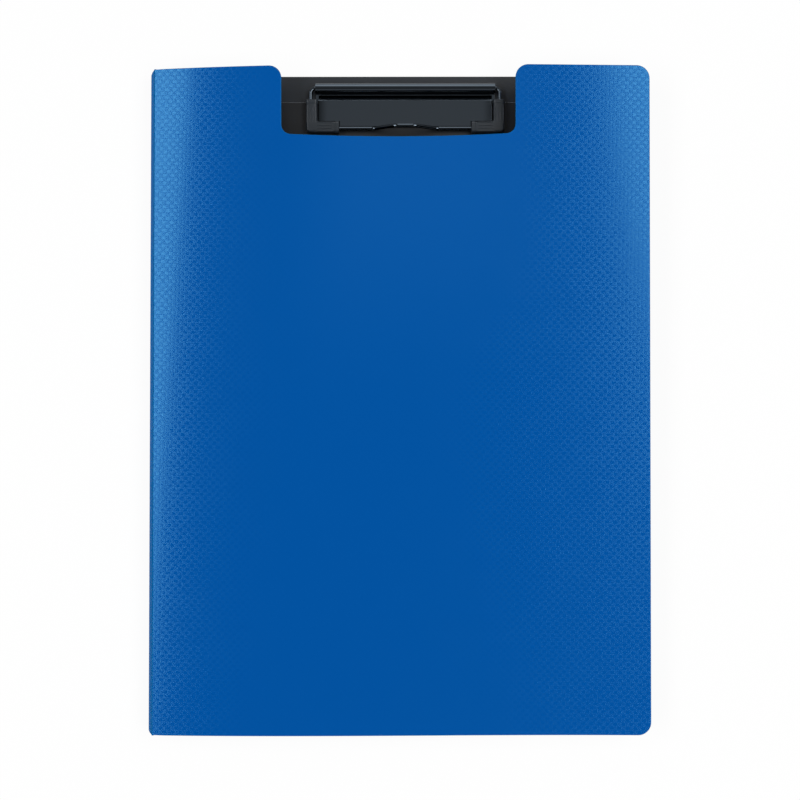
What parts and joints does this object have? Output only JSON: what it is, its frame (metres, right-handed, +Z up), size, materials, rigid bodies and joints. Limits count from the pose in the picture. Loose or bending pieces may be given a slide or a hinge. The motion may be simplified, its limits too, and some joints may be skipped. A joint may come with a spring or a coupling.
{
  "type": "clipboard folder",
  "caption": "Creased plastic folder with a notched hinged cover, a backing board and a sprung wire bail clip that grips loose sheets.",
  "frame": {"origin": "below the middle of the closed folder, on the surface that it lies on", "axes": "+X from the spine to the free edge, +Y from the bottom edge to the clip at the top edge, +Z up through the cover"},
  "size_m": [0.239, 0.315, 0.0235],
  "materials": {
    "cover_sheet": "satin",
    "board": "matte",
    "liner": "satin",
    "clip_steel": "gloss",
    "clip_wire": "gloss",
    "cap_vinyl": "satin"
  },
  "bodies": {
    "back": {"back_cover": "cover_sheet", "backing_board": "board", "board_liner": "liner", "clip_base": "clip_steel"},
    "spine": {"spine": "cover_sheet"},
    "front": {"front_cover": "cover_sheet"},
    "bail": {"bail_wire": "clip_wire", "corner_cap_left": "cap_vinyl", "corner_cap_right": "cap_vinyl"}
  },
  "joints": [
    {"name": "spine_hinge", "type": "hinge", "parent": "back", "child": "spine", "pos_m": [-0.11895, 0, 0.0005], "axis": [0, -1, 0], "range_deg": [0, 196.6]},
    {"name": "cover_hinge", "type": "hinge", "parent": "spine", "child": "front", "pos_m": [-0.11467, 0, 0.01487], "axis": [0, -1, 0], "range_deg": [0, 163.4]},
    {"name": "bail_hinge", "type": "hinge", "parent": "back", "child": "bail", "pos_m": [0.0044, 0.151, 0.0058], "axis": [-1, 0, 0], "range_deg": [0, 105], "stiffness_Nm_per_rad": 0.05, "springref_deg": -114.59}
  ]
}
